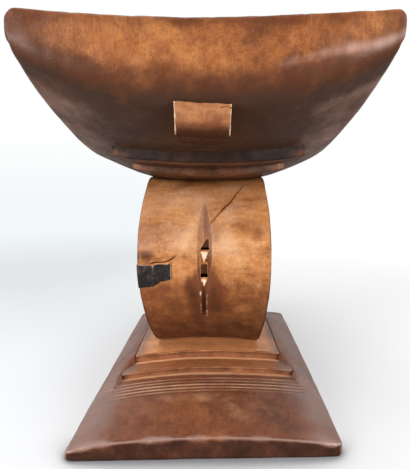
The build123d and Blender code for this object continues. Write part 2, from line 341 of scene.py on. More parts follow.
def paint(piece, **strengths):
    """Give a piece's points a number for each mark, which its material reads."""
    for name, values in strengths.items():
        layer = piece.data.attributes.new(name, "FLOAT", "POINT")
        layer.data.foreach_set("value", np.clip(values, 0, 1))


def crowd(t, share=0.7):
    """Move evenly spaced lines from -1 to 1 towards both ends."""
    return (1 - share) * t + share * t * (1.5 - 0.5 * t * t)


def crowd_up(w):
    """Move evenly spaced levels from 0 to 1 towards both ends."""
    return (crowd(2 * w - 1) + 1) / 2


def step(value, low, high):
    """A smooth step from 0 at one value to 1 at another."""
    t = np.clip((value - low) / (high - low), 0, 1)
    return t * t * (3 - 2 * t)


def spot(first, at_first, wide, second=0, at_second=0, tall=1):
    """A soft spot, 1 in its middle, of a given half width and half height."""
    return np.exp(-((first - at_first) / wide) ** 2 - ((second - at_second) / tall) ** 2)


def spots(first, second, places):
    """A sum of soft spots: the strength of each, then its place and half size on two axes."""
    return sum(strength * spot(first, at_first, wide, second, at_second, tall)
               for strength, at_first, wide, at_second, tall in places)


def waver(t, seed):
    """An uneven hand's line, between about -1 and 1, along a length in metres."""
    return (np.sin(t * 53 + seed) + np.sin(t * 139 + seed * 2.3)
            + 0.7 * np.sin(t * 331 + seed * 5.1)) / 2.7


def round_edge(first, second, radius):
    """Distances from two faces that meet, with the edge between the faces rounded."""
    a = np.clip(1 - first / radius, 0, 1)
    b = np.clip(1 - second / radius, 0, 1)
    near = np.minimum(a, b)
    long = np.hypot(a, b)
    pull = np.where(near > 0, np.maximum(a, b) / np.where(long > 0, long, 1), 1)
    inside = near > 0
    return (np.where(inside, radius * (1 - a * pull), first),
            np.where(inside, radius * (1 - b * pull), second), near)


def carve(piece, depth, size):
    """Leave shallow tool marks over a piece, in and out by half a depth."""
    cloud = bpy.data.textures.new(f"{piece.name}_marks", "CLOUDS")
    cloud.noise_scale = size
    cloud.noise_depth = 2
    tooled = piece.modifiers.new("marks", "DISPLACE")
    tooled.texture = cloud
    tooled.strength = depth
    tooled.mid_level = 0.5
    bpy.context.view_layer.objects.active = piece
    bpy.ops.object.modifier_apply(modifier=tooled.name)


def finish_piece(piece, material, slot, *nodes):
    """Keep a piece within the stool's outer size, smooth it and let it stand for its nodes."""
    set_points(piece, *(np.clip(values, low, high)
                        for values, low, high in zip(points_of(piece), *cad_box)))
    bpy.ops.object.select_all(action="DESELECT")
    piece.select_set(True)
    bpy.context.view_layer.objects.active = piece
    bpy.ops.object.shade_smooth()
    piece.data.materials.clear()
    piece.data.materials.append(material)
    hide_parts(*nodes)
    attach(piece, "root")


seat_axis_z = 0.871             # the seat curves about an axis along Y at this height
seat_half_length = 0.2557
seat_half_width = 0.1422
seat_shift_y = 0.0004
sitting_radius = 0.5750
sitting_dish = 0.0067           # how much higher its long sides are than its middle line
belly_deepest = 0.625           # distance of the keel from the axis
keel_half = 0.067
keel_soft = 0.018               # how gently the keel turns into the slopes beside it
slope_fall = 0.45
end_fall = 0.0305
end_half = 0.138                # the ends come up by end_fall this far from the middle


def top_radius(y):
    """Distance of the sitting surface from the axis that the seat curves about."""
    out = y / 0.144
    return sitting_radius - sitting_dish * out**2 + 0.0010 * out**3


def belly_radius(x, y):
    """Distance of the underside from that axis: a flat keel between two slopes that
    turns into one even round towards the seat's ends."""
    out = np.abs(y)
    middle = slope_fall * keel_soft * np.logaddexp(0, (out - keel_half) / keel_soft)
    ends = end_fall * (out / end_half) ** 2.2
    return belly_deepest - middle - (ends - middle) * step(np.abs(x), 0.06, 0.23)


def belly_z(x, y):
    """Height of the seat's underside."""
    return seat_axis_z - np.sqrt(belly_radius(x, y) ** 2 - x**2)


# its edges, by how wide they are rubbed or cut round
upper_edge = 0.0125
upper_edge_more = 0.0015        # added at the left and taken off at the right
rim_edge = 0.0075
crest_edge = 0.0022
lower_edge = 0.0190
lower_edge_less = 0.0085        # taken off towards both corners
corner_edge = 0.0026
end_hollow = 0.0007
nick_places = (-0.094, -0.051, 0.006, 0.049, 0.071, 0.117)
nick_half = 0.0018

seat = block("carved_seat", (190, 120, 20))
u, v, w = points_of(seat)
x = seat_half_length * crowd(u, 0.75)
y = seat_half_width * crowd(v)
w = crowd_up(w)
side = seat_half_width - np.abs(y)
end = seat_half_length - np.abs(x)
thick = belly_radius(x, y) - top_radius(y)
above = (1 - w) * thick
below = w * thick
nicks = sum(spot(y, at, nick_half) for at in nick_places)
side, above, worn_top = round_edge(side, above, upper_edge - upper_edge_more * np.sign(y))
side, below, _ = round_edge(side, below, rim_edge)
crest_round = crest_edge + 0.0005 * waver(y, 1.3) + 0.0004 * nicks
end, above, worn_crest = round_edge(end, above, crest_round)
lower_round = lower_edge - lower_edge_less * step(np.abs(y), 0.03, 0.125) + 0.0010 * waver(y, 4.0)
end, below, _ = round_edge(end, below, lower_round)
end, side, worn_corner = round_edge(end, side, corner_edge)
end += end_hollow * (1 - side / seat_half_width) ** 7 * step(end, 0.03, 0)
y = np.sign(y) * (seat_half_width - side)
radius = np.where(w > 0.5, top_radius(y) + above, belly_radius(x, y) - below)
# its sides lean in below the rim, more in the middle and at the right
lean = 0.0011 + 0.0025 * step(np.abs(x), 0.22, 0.14)
lean += 0.0018 * (y > 0) * step(np.abs(x), 0.252, 0.205)
y -= np.sign(y) * lean * step(radius, 0.574, 0.590) * np.exp(-side / 0.02)
x = np.sign(x) * (seat_half_length - end)
z = seat_axis_z - np.sqrt(radius**2 - x**2)
set_points(seat, x, y + seat_shift_y, z)

# its marks and its painted light and shade, by the part of the seat that they lie on
face = step(end, 0.006, 0.001)
front = step(end, 0.014, 0.006)
low_face = front * step(below, 0.028, 0.006)
under = step(below, 0.018, 0.003) * step(end, 0.0005, 0.0120)
sat_on = step(above, 0.004, 0.0) * (w > 0.5)
below_crest = step(above, 0.014, 0.002)
far_out = step(np.abs(y), 0.06, 0.12)
# painted shade round each lug, on the underside
lug_shadow = spot(y, 0, 0.034) * step(np.abs(x), 0.19, 0.225)
inside_lug = spot(y, 0.002, 0.04) * step(np.abs(x), 0.205, 0.185)
# a painted sheen, like a reflection, along the lower rounding of the end face at the right
sheen = step(y, 0.02, 0.09) * spot(below, 0.0165 - 0.0085 * step(y, 0.08, 0.14), 0.0044)
sheen *= 0.85 + 0.3 * waver(y * 2, 1.7)
# golden patches on the end face, partly painted light; wine stains; a painted sheen on its left
# corner
# strength, Y and half width, Z and half height
golden_and_lit_spots = (
    (0.16, 0.015, 0.040, 0.328, 0.009),
    (0.40, -0.080, 0.032, 0.338, 0.012),
    (0.30, 0.088, 0.030, 0.340, 0.010),
)
wine_spots = (
    (0.50, -0.122, 0.022, 0.353, 0.009),
    (0.30, 0.055, 0.014, 0.347, 0.010),
    (0.30, -0.030, 0.012, 0.330, 0.010),
    (0.25, -0.085, 0.008, 0.318, 0.008),
    (0.20, 0.095, 0.020, 0.352, 0.006),
)
painted_sheen_spots = ((0.20, -0.132, 0.012, 0.346, 0.014),)
# the underside darkened with dark patina and painted shade, and the foot of the end face with
# stain and painted shade; towards its sides the underside gets a painted sheen
paint(
    seat,
    fresh=face * spots(y, z, golden_and_lit_spots),
    stain=face * ((0.44 + 0.20 * spot(y, 0.0, 0.06)) * below_crest + spots(y, z, wine_spots))
    + (0.78 + 0.14 * waver(y * 1.5, 3.0)) * low_face,
    grime=under * (0.92 - 0.10 * far_out + 0.3 * lug_shadow)
    + 0.25 * low_face * (1 - under) - 0.20 * inside_lug
    + 0.35 * spot(y, -0.112, 0.022) * low_face + 0.35 * worn_crest,
    haze=face * spots(y, z, painted_sheen_spots) + 0.74 * front * sheen
    + 0.42 * under * far_out * step(end, 0.014, 0.035),
    worn=0.30 * worn_corner * step(z, 0.346, 0.353) + 0.3 * nicks * worn_crest
    + 0.12 * worn_top + 0.14 * sat_on,
)
carve(seat, depth=0.0013, size=0.05)
carve(seat, depth=0.0004, size=0.012)
finish_piece(seat, seat_wood, "seat_wood", "seat")

# ---- steps under the seat -------------------------------------------------------------
# Two steps at each end, cut in towards the ring: upright fronts that bow outwards, and
# lower faces that run level until the seat's underside comes down to meet them.
# Their fronts are sooty and darkened with painted shade.
step_y = 0.0027                 # they stand a little to the right
step_deep = 0.062
step_nose = 0.0013
step_corner = 0.0015
step_sunk = 0.010               # how far they run up into the seat
end_rise = 0.008                # how much higher their ends are than their middle
sooty_shaded_wood = wood_material(
    "sooty_shaded_wood", {**seat_tones, "grime": (0.023, 0.011, 0.0075)}, patches=17, polish=0.5)
# name, X of its front in the middle and at its ends, half width, lowest Z, soot and painted shade
# on its front
for name, front, sides, half_width, lower, soot_and_shade in (
    ("seat_step_outer", 0.1705, 0.1500, 0.0922, 0.2592, 0.95),
    ("seat_step_inner", 0.1200, 0.1030, 0.0807, 0.2498, 0.58),
):
    for place, facing in (("front", 1), ("back", -1)):
        riser = block(f"carved_{name}_{place}", (22, 110, 12))
        u, v, w = points_of(riser)
        inward = step_deep * (1 - crowd(u)) / 2
        across = half_width * crowd(v, 0.5)
        side = half_width - np.abs(across)
        root = belly_z(front, across) + step_sunk
        floor_z = lower + end_rise * (across / half_width) ** 2
        up = crowd_up(w) * (root - floor_z)
        nose = step_nose + 0.0006 * waver(across, 2.0 + facing + lower)
        inward, up, worn_nose = round_edge(inward, up, nose)
        side, up, _ = round_edge(side, up, step_corner)
        inward, side, worn_corner = round_edge(inward, side, step_corner)
        across = np.sign(across) * (half_width - side)
        wander = 0.0006 * waver(across, 6.1 + lower)
        bow = (front - sides) * (across / half_width) ** 2
        x = facing * (front - bow - inward + wander)
        z = floor_z + up + 0.0004 * waver(across, 3.3 + front)
        set_points(riser, x, across + step_y, z)
        outer = step(np.abs(across) / half_width, 0.72, 0.98)
        upright = step(inward, 0.0016, 0.0006)
        near_seat = step(up, 0.004, 0.009)
        # soot and painted shade on the fronts and lower faces, most next to the seat, and paler
        # towards their ends
        paint(riser, worn=0.25 * worn_nose * outer + 0.25 * worn_corner,
              grime=0.55 + (soot_and_shade - 0.55) * upright - 0.30 * outer * upright + 0.3 * near_seat)
        if facing == -1:
            riser.data.flip_normals()
        carve(riser, depth=0.0005, size=0.02)
        finish_piece(riser, sooty_shaded_wood, "seat_wood", f"{name}_{place}")

# ---- grip lugs ------------------------------------------------------------------------
# A short bar left standing under each end of the seat, worn pale by the hands that lift
# the stool by it, with split and chipped corners.


def cut_away(piece, cutter):
    """Cut one piece out of another, with painted shade on the new faces, and take the cutter away.
    """
    paint(cutter, grime=np.full(len(cutter.data.vertices), 0.9))
    knife = piece.modifiers.new("cut", "BOOLEAN")
    knife.operation = "DIFFERENCE"
    knife.solver = "EXACT"
    knife.object = cutter
    bpy.context.view_layer.objects.active = piece
    bpy.ops.object.modifier_apply(modifier=knife.name)
    bpy.data.objects.remove(cutter)


lug_tones = {
    "dark": (0.17, 0.055, 0.019), "middle": (0.33, 0.122, 0.042), "light": (0.46, 0.187, 0.066),
    "fresh": (0.49, 0.21, 0.077), "stain": (0.16, 0.042, 0.016), "grime": (0.058, 0.020, 0.009),
    "haze": (0.60, 0.40, 0.28), "worn": (0.80, 0.53, 0.35),
}
lug_wood = wood_material(
    "lug_wood", lug_tones, patches=55, stretch=(1, 0.35, 1.4), mottle=1.2, polish=0.45)
lug_half = 0.0212
lug_front = 0.2500
lug_long = 0.050
lug_bottom = 0.2732
lug_tall = 0.0248
lug_nose = 0.0090
lug_crest = 0.0016
lug_corner = 0.0011
lug_side = 0.0014
lug_drop = 0.0011               # its right corner hangs this much lower than its middle
lug_split_y = 0.0125
lug_split_z = 0.2938
lug_split_long = 0.010
lug_split_deep = 0.0040
for place, facing in (("front", 1), ("back", -1)):
    lug = block(f"carved_seat_lug_{place}", (34, 44, 26))
    u, v, w = points_of(lug)
    inward = lug_long * (1 - crowd(u)) / 2
    across = lug_half * crowd(v)
    side = lug_half - np.abs(across)
    up = crowd_up(w) * lug_tall
    inward, up, _ = round_edge(inward, up, lug_nose)
    down = lug_tall - up
    inward, down, worn_top = round_edge(inward, down, lug_crest)
    up = lug_tall - down
    chipped = lug_corner + 0.0007 * waver(up * 6, 1.0 + facing)
    inward, side, _ = round_edge(inward, side, chipped)
    side, up, _ = round_edge(side, up, lug_side)
    across = np.sign(across) * (lug_half - side)
    taper = 1 - 0.04 * step(lug_tall - up, 0.0, lug_tall)
    x = lug_front - inward + 0.0005 * waver(up * 3, 2) - 0.0005 * (across / lug_half) ** 2
    z = lug_bottom + up + 0.0005 * waver(across * 2, 5.0) - lug_drop * across / lug_half
    set_points(lug, facing * x, across * taper - 0.0003, z)
    ends = step(side, 0.0022, 0.0004)
    nearer = step(inward, 0.014, 0.0)
    # its ends worn pale; painted light on the upper part of its nose, and painted shade on its
    # lower part and further in under the seat
    paint(lug, worn=(0.55 * ends * nearer + 0.30 * worn_top) * nearer,
          grime=0.85 * step(up, 0.0135, 0.0020) + 0.7 * step(inward, 0.008, 0.014),
          stain=0.6 * step(up, 0.0190, 0.0080),
          fresh=0.30 * nearer * step(up, 0.012, 0.018))
    if facing == -1:
        lug.data.flip_normals()
    carve(lug, depth=0.0006, size=0.012)
    # a split runs in from the top right corner
    split = block("split_cutter", (1, 8, 1))
    u, v, w = points_of(split)
    reach = (v + 1) / 2
    gape = 0.0002 + 0.0006 * reach
    x = lug_front - lug_split_deep + 0.0025 * (u + 1)
    z = lug_split_z + 0.0012 * np.sin(reach * 4) + gape * (w - 0.5)
    set_points(split, facing * x, lug_split_y + lug_split_long * reach, z)
    cut_away(lug, split)
    finish_piece(lug, lug_wood, "worn_wood", f"seat_lug_{place}")

# ---- ring ------------------------------------------------------------------------------
# An open hoop that carries the seat, carved in one with it. Each end of its band has a
# chip-carved spindle with two windows and a groove below, and it has dried and split.
ring_z = 0.1485
ring_radius = 0.104
ring_wall = 0.026
ring_half_width = 0.0733
ring_inner_edge = 0.002
cheek_edge = 0.0022
slot_front_y = -0.0015
slot_back_y = 0.0060
slot_middle_y = (slot_front_y + slot_back_y) / 2


def cheek(z, head, waist, foot):
    """Y of a cheek at a height, on the round through three points."""
    (za, ya), (zb, yb), (zc, yc) = head, waist, foot
    first = ya * (z - zb) * (z - zc) / ((za - zb) * (za - zc))
    second = yb * (z - za) * (z - zc) / ((zb - za) * (zb - zc))
    return first + second + yc * (z - za) * (z - zb) / ((zc - za) * (zc - zb))


def left_cheek(z):
    """Y of the left cheek, from Z and Y at its head, waist and foot."""
    return cheek(z, (0.256, -0.0690), (0.160, -0.0747), (0.044, -0.0595))


def right_cheek(z):
    """Y of the right cheek, in the same way."""
    return cheek(z, (0.256, 0.0685), (0.160, 0.0722), (0.044, 0.0645))


def slot_place(x):
    """Y of the slot's middle: one place at the near end of the band, another at the far end."""
    return slot_middle_y + (slot_front_y - slot_middle_y) * np.tanh(x / 0.03)


# a bar with the ring's section is bent round, and its two ends are joined
ring = block("carved_ring", (419, 108, 5))
u, v, w = points_of(ring)
turn = np.sign(u) * np.interp(np.abs(u), (0, 0.1, 0.9, 1), (0, 0.22, 0.78, 1))
angle = math.pi * turn
# lines of points gather round the slot
t = crowd(v, 0.5)
t = t - 0.62 * 0.16 * np.tanh((t + 0.02) / 0.16) * (1 - t * t)
side = ring_half_width * (1 - np.abs(t))
above = ring_wall * (1 - w)
rubbed = cheek_edge + 0.0008 * waver(angle * ring_radius, 2.2)
side, above, _ = round_edge(side, above, rubbed)
inner = ring_wall - above
side, inner, _ = round_edge(side, inner, ring_inner_edge)
above = ring_wall - inner
t = np.sign(t) * (1 - side / ring_half_width)
radius = ring_radius - above
x = radius * np.sin(angle)
z = ring_z - radius * np.cos(angle)
slot_y = slot_place(x)
reach = np.where(t < 0, slot_y - left_cheek(z), right_cheek(z) - slot_y)
y = slot_y + reach * t
# its head and foot spread a little at both cheeks
head_spread = 0.0018
foot_spread = 0.0035
y += head_spread * np.sign(t) * step(np.abs(t), 0.45, 1.0) * step(z, 0.236, 0.250)
z -= foot_spread * step(np.abs(t), 0.45, 1.0) * step(z, 0.080, 0.048)

# the spindle: two facets that meet in a valley, and a tooth left at the foot of each window;
# first its half width at each height
spindle_z = (0.1225, 0.135, 0.152, 0.172, 0.186, 0.200, 0.213, 0.2235)
spindle_half = (0.0036, 0.0060, 0.0078, 0.0084, 0.0081, 0.0064, 0.0038, 0.0)
spindle_deep = 0.0060
facet_slope = 0.95
teeth = ((0.1692, 0.1550, 0.0048), (0.1385, 0.1290, 0.0046))     # head, foot, half width
tooth_share = 0.66              # of the depth, left standing
groove_half = 0.0025
groove_deep = 0.0042


def tooth(across, z, head, foot, half_width):
    """An upside-down triangle left standing between two cuts."""
    kept = (z - foot) / (head - foot)
    shape = step(half_width * kept - np.abs(across), -0.0003, 0.0008)
    return shape * (z < head + 0.0004) * (z > foot)


outside = step(above, 0.004, 0.0005)
across = y - slot_y
room = np.interp(z, spindle_z, spindle_half) - np.abs(across)
carved = step(room, -0.0003, 0.0006) * (z > 0.1215) * (z < 0.2235)
hollow = np.minimum(spindle_deep, 0.0004 + room * facet_slope) * carved
standing = np.maximum(*(tooth(across, z, *sizes) for sizes in teeth))
hollow = hollow * (1 - tooth_share * standing)
groove = step(groove_half - np.abs(across), -0.0004, 0.0010)
groove = groove * step(z, 0.0925, 0.0945) * (z < 0.1265)
hollow = np.maximum(hollow, groove_deep * groove)
cut = (radius - hollow * outside) / radius
x *= cut
z = ring_z + (z - ring_z) * cut
set_points(ring, x, y, z)
bpy.ops.object.select_all(action="DESELECT")
ring.select_set(True)
bpy.context.view_layer.objects.active = ring
bpy.ops.object.mode_set(mode="EDIT")
bpy.ops.mesh.select_mode(type="FACE")
bpy.ops.mesh.select_all(action="DESELECT")
bpy.ops.object.mode_set(mode="OBJECT")
for face in ring.data.polygons:
    face.select = min(abs(u[i]) for i in face.vertices) > 0.9999
bpy.ops.object.mode_set(mode="EDIT")
bpy.ops.mesh.delete(type="FACE")
bpy.ops.mesh.select_all(action="SELECT")
bpy.ops.mesh.remove_doubles(threshold=1e-6)
bpy.ops.object.mode_set(mode="OBJECT")

# its marks and its painted light and shade, from where its points now are
x, y, z = points_of(ring)
across = y - slot_place(x)
out = np.abs(across)
radius = np.hypot(x, z - ring_z)
outside = step(radius, ring_radius - 0.012, ring_radius - 0.008)
sunk = ring_radius - radius
spindle = np.interp(z, spindle_z, spindle_half)
kept = np.maximum(*(tooth(across, z, *sizes) for sizes in teeth))
facets = step(sunk, 0.0001, 0.0008) * step(spindle - out, -0.0004, 0.0006)
lips = spot(out, spindle + 0.0004, 0.0007) * step(across, 0.004, -0.004)
lips = lips * (z > 0.121) * (z < 0.222)
lips += 0.9 * spot(out, 0.0034, 0.0010) * (z > 0.093) * (z < 0.124)
groove_shade = step(0.0024 - out, 0, 0.0006) * (z > 0.093) * (z < 0.126)
blotch = 0.75 + 0.5 * waver(z * 1.6, 1.0) * waver(across * 2.4, 0.5)
stain_low = blotch * (spot(across + 0.25 * (z - 0.118), -0.0115, 0.0070, z, 0.118, 0.026)
                      + spot(across, 0.0125, 0.0085, z, 0.121, 0.026))
edge = step(np.minimum(y - left_cheek(z), right_cheek(z) - y), 0.0032, 0.0006)
near_side = x > 0
plate_stain = near_side * spot(y, -0.063, 0.012, z, 0.164, 0.009)
split_shade = spot(y - 0.0057, (z - 0.199) * 0.925, 0.0012)
split_shade = near_side * split_shade * (z > 0.199) * (z < 0.242)
# the seat's shadow, painted along the top of the band, lower in its middle
seat_shadow = step(z - 0.006 * (across / 0.068) ** 2, 0.2405, 0.2475)
uneven = 0.75 + 0.35 * waver(z * 1.3, 0.4) * waver(across, 2.0)
golden_slant = across + 0.35 * (0.182 - z)
# painted highlights on the band beside the slot, and golden patches
# strength, distance from the slot and half width, Z and half height
painted_highlight_by_slot = ((0.75, -0.018, 0.0080, 0.182, 0.028),)
golden_and_lit_spots = (
    (0.58, 0.027, 0.019, 0.187, 0.036),
    (0.45, -0.042, 0.016, 0.200, 0.020),
    (0.35, 0.035, 0.016, 0.150, 0.016),
)
wine_spots = (
    (0.60, 0.058, 0.008, 0.188, 0.011),
    (0.42, 0.013, 0.006, 0.184, 0.014),
    (0.30, 0.060, 0.008, 0.225, 0.015),
)
wine_by_slot = ((0.45, 0.0085, 0.0045, 0.150, 0.020),)
# darker towards its foot and along both cheeks; the facets stained, the right one darker with
# painted shade; the inside of the hoop darkened with painted shade; a pale haze over the upper
# band
paint(
    ring,
    fresh=outside * uneven * (spots(golden_slant, z, painted_highlight_by_slot)
                              + spots(across, z, golden_and_lit_spots)),
    stain=outside * (spots(across, z, wine_spots) + spots(out, z, wine_by_slot)
                     + 0.6 * plate_stain + 0.60 * stain_low + 0.68 * step(z, 0.156, 0.126)
                     + (0.58 + 0.22 * np.sign(across)) * facets * (1 - kept)),
    grime=outside * (0.58 * stain_low + 0.85 * plate_stain + 0.44 * step(z, 0.140, 0.095)
                     + 0.25 * step(z, 0.100, 0.060) + 0.8 * seat_shadow + 0.50 * edge
                     + 0.5 * split_shade + 0.10 * groove_shade)
    + (1 - outside) * 0.95,
    haze=outside * 0.38 * step(z, 0.148, 0.175) * step(z, 0.250, 0.238)
    * (1 - 0.5 * step(across, 0.030, 0.050)),
    worn=outside * (0.52 * lips + 0.85 * kept * facets),
)
ring_tones = {
    "dark": (0.34, 0.105, 0.024), "middle": (0.60, 0.235, 0.068), "light": (0.78, 0.37, 0.130),
    "fresh": (0.88, 0.51, 0.24), "stain": (0.18, 0.053, 0.018), "grime": (0.080, 0.030, 0.014),
    "haze": (0.70, 0.46, 0.33), "worn": (0.90, 0.66, 0.45),
}
ring_wood = wood_material("ring_wood", ring_tones, patches=26, stretch=(1, 0.45, 1.15),
                          mottle=1.4, grain=0.22, polish=0.42)

# windows right through the band, then the splits, which are narrow and shallow


def wedge(name, outline, inner_x, outer_x):
    """A prism along X over an outline in Y and Z."""
    bpy.ops.object.select_all(action="DESELECT")
    bpy.ops.mesh.primitive_circle_add(vertices=len(outline), radius=0.01, fill_type="NGON")
    piece = bpy.context.object
    piece.name = name
    for vertex, (side_y, high_z) in zip(piece.data.vertices, outline):
        vertex.co = (inner_x, side_y, high_z)
    bpy.ops.object.mode_set(mode="EDIT")
    bpy.ops.mesh.select_all(action="SELECT")
    bpy.ops.mesh.extrude_region_move(TRANSFORM_OT_translate={"value": (outer_x - inner_x, 0, 0)})
    bpy.ops.mesh.select_all(action="SELECT")
    bpy.ops.mesh.normals_make_consistent(inside=False)
    bpy.ops.object.mode_set(mode="OBJECT")
    return piece


# each window by its corners: distance from the slot's middle, and Z
windows = (
    ((0.0022, 0.1812), (0.0048, 0.1812), (0.0056, 0.1698), (-0.0044, 0.1698)),
    ((-0.0032, 0.1538), (0.0036, 0.1542), (0.0042, 0.1398), (-0.0040, 0.1398)),
)
cutter_inner_x = 0.05
cutter_outer_x = 0.12
for window in windows:
    for slot, facing in ((slot_front_y, 1), (slot_back_y, -1)):
        outline = [(slot + across, high) for across, high in window]
        cutter = wedge("window_cutter", outline, facing * cutter_inner_x, facing * cutter_outer_x)
        cut_away(ring, cutter)

# each split runs through points in Y and Z, with half its width in millimetres at each
splits = (
    ((0.0057, 0.1985, 0.45), (0.0120, 0.2060, 0.45), (0.0200, 0.2145, 0.80),
     (0.0290, 0.2225, 0.95), (0.0345, 0.2305, 0.90), (0.0445, 0.2415, 0.60)),
    ((-0.0600, 0.1556, 0.80), (-0.0520, 0.1568, 0.80), (-0.0430, 0.1572, 0.90),
     (-0.0370, 0.1602, 1.10), (-0.0310, 0.1648, 0.25)),
)
split_deep = 0.0045
for line in splits:
    split = block("split_cutter", (30, 1, 1))
    u, v, w = points_of(split)
    line_y, line_z, line_half = (np.array(values) for values in zip(*line))
    place = (u + 1) / 2 * (len(line) - 1)
    at = np.arange(len(line))
    run_y = np.interp(place, at, line_y)
    run_z = np.interp(place, at, line_z)
    gape = np.interp(place, at, line_half) / 1000 * (0.15 + 0.85 * w) * v
    slope = math.atan2(line_z[-1] - line_z[0], line_y[-1] - line_y[0])
    lean = np.arcsin((run_z - ring_z) / ring_radius)
    radius = ring_radius - split_deep + 0.007 * w
    x = radius * np.cos(lean)
    y = run_y - gape * math.sin(slope)
    z = ring_z + radius * np.sin(lean) + gape * math.cos(slope)
    set_points(split, x, y, z)
    cut_away(ring, split)

# an old nail hole
hole_y = -0.0505
hole_z = 0.1680
turns = [math.tau * i / 10 for i in range(10)]
outline = [(hole_y + 0.0008 * math.cos(a), hole_z + 0.0007 * math.sin(a)) for a in turns]
cut_away(ring, wedge("hole_cutter", outline, 0.090, cutter_outer_x))
carve(ring, depth=0.0008, size=0.03)
finish_piece(ring, ring_wood, "ring_wood", "ring_support")

# ---- base --------------------------------------------------------------------------------
# A board left wide under the ring, flat below and gently domed above, with five lines
# scored across each end of it. Its flanks run up flush to the plinth, and its upper edges
# are knocked and rubbed.
base_tones = {
    "dark": (0.085, 0.030, 0.016), "middle": (0.215, 0.072, 0.034), "light": (0.34, 0.120, 0.048),
    "fresh": (0.70, 0.37, 0.200), "stain": (0.12, 0.032, 0.018), "grime": (0.038, 0.016, 0.010),
    "haze": (0.28, 0.172, 0.142), "worn": (0.58, 0.38, 0.30),
}
base_wood = wood_material("base_wood", base_tones, patches=15, stretch=(0.6, 1, 1), mottle=1.0,
                          grain=0.12, polish=0.40)
base_half = 0.2118
base_middle_y = 0.0027
squint = 0.05                   # the base and its steps are cut a little askew
crown_half = 0.090
crown_ends = 0.0200             # height of the crown at the ends, and its rise to the middle
crown_rise = 0.0177
lower_tread_z = 0.0400
upper_tread_z = 0.0485
flank_lap = 0.0003              # the flanks stand this much above the treads' edges
# name, half length, half width, height in the middle
plinth = (
    ("plinth_step_lower", 0.103, 0.0956, lower_tread_z),
    ("plinth_step_upper", 0.075, 0.0845, upper_tread_z),
)


def left_side(x):
    """Y of the base's left side, which flares at the near end."""
    return -0.1186 - 0.0034 * np.clip(x / base_half, 0, 1) ** 3


def right_side(x):
    """Y of its right side, which runs in towards the near end and bows a little."""
    return 0.1302 - 0.0053 * x / base_half + 0.0009 * (1 - (x / base_half) ** 2)


def sag(x, out):
    """How far the dome and the treads fall at a distance from the middle, to the left or right."""
    left = 0.0045 + 0.0030 * step(np.abs(x), 0.212, 0.13)
    return np.where(out < 0, left, 0.0046) * (out / crown_half) ** 2


def dome(x, y):
    """Height of the base's top: a crown, and a flank that falls to the rim on either side."""
    out = y - base_middle_y
    cut_x = np.abs(x)
    crown = crown_ends + crown_rise * np.clip(1 - (x / 0.212) ** 2, 0, 1)
    at = (0.074, 0.094, 0.104, 0.130, 0.212)
    shoulder = np.interp(cut_x, at, (0.0842, 0.0945, 0.0956, 0.1020, 0.0960))
    signed = np.sign(out) * shoulder
    level = crown - sag(x, signed)
    lower_tread = lower_tread_z - sag(x, signed)
    upper_tread = upper_tread_z - sag(x, signed)
    top = np.interp(cut_x, (0.074, 0.092), (1, 0)) * (upper_tread - lower_tread) + lower_tread
    head = level + step(cut_x, 0.130, 0.104) * (top + flank_lap - level)
    edge = np.where(out < 0, base_middle_y - left_side(x), right_side(x) - base_middle_y)
    rim = np.where(out < 0, 0.0120 - 0.0045 * step(x, 0.13, 0.212), 0.0115)
    past = np.clip((np.abs(out) - shoulder) / (edge - shoulder), 0, 1)
    flank = rim + (head - rim) * (1 - past ** 1.35)
    inside = step(shoulder - np.abs(out), -0.0004, 0.0006)
    return inside * (crown - sag(x, out)) + (1 - inside) * flank


# knocks along the crest of each end: Y, half width, depth
knocks_at = (
    (-0.104, 0.009, 0.0030), (-0.088, 0.006, 0.0022), (-0.046, 0.008, 0.0034),
    (-0.033, 0.005, 0.0024), (-0.004, 0.010, 0.0022), (0.019, 0.006, 0.0018),
    (0.052, 0.008, 0.0014), (0.113, 0.007, 0.0034),
)
deep_knock = 0.003
base_crest = 0.0023
base_foot = 0.0016
base_side = 0.0030
base_rim = 0.0018
base_corner = 0.0080

base = block("carved_base", (240, 150, 8))
u, v, w = points_of(base)
x = base_half * np.sign(u) * np.interp(
    np.abs(u), (0, 0.12, 0.30, 0.72, 0.88, 1), (0, 0.32, 0.50, 0.70, 0.96, 1))
t = np.sign(v) * np.interp(np.abs(v), (0, 0.38, 0.78, 1), (0, 0.66, 0.84, 1))
low, high = left_side(x), right_side(x)
width = (high - low) / 2
side = width * (1 - np.abs(t))
end = base_half - np.abs(x)
y = (low + high) / 2 + width * t
w = crowd_up(w)
tall = dome(x, y)
below = w * tall
above = (1 - w) * tall
knocks = sum(size * spot(y, at, wide) for at, wide, size in knocks_at)
corner = spot(side, 0, 0.012)
end, above, worn_crest = round_edge(end, above, base_crest + 0.0006 * waver(y, 0.7) + knocks)
end, below, worn_foot = round_edge(end, below, base_foot)
side, above, worn_side = round_edge(side, above, base_side)
side, below, _ = round_edge(side, below, base_rim)
end, side, _ = round_edge(end, side, base_corner)
t = np.sign(t) * (1 - side / width)
y = (low + high) / 2 + width * t
x = np.sign(x) * (base_half - end)
z = np.where(w > 0.5, dome(x, y) - above, below)

# scored lines, a little askew and not quite level with each other: X, from Y, to Y, depth
score_lines = (
    (0.1185, -0.106, 0.098, 0.0007),
    (0.1243, -0.108, 0.108, 0.0010),
    (0.1308, -0.110, 0.112, 0.0010),
    (0.1366, -0.110, 0.106, 0.0010),
    (0.1420, -0.108, 0.098, 0.0007),
)
score_half = 0.0011
score_turn = 0.10 * y**2 * (y < 0)          # they curl outwards at the left
lip_gap = 0.0026                # from a line's middle to the pale lip on its inner side
top_face = step(above, 0.0012, 0.0002) * (w > 0.5)
score = np.zeros_like(x)
for at, from_y, to_y, deep in score_lines:
    line = at + 0.0005 * waver(y * 0.6, at * 100) + score_turn
    near = spot(np.abs(x), line, score_half)
    within = step(y, from_y - 0.004, from_y + 0.006) * step(y, to_y + 0.004, to_y - 0.006)
    score += deep * near * within
z -= score * top_face
set_points(base, x - squint * y, y, z)
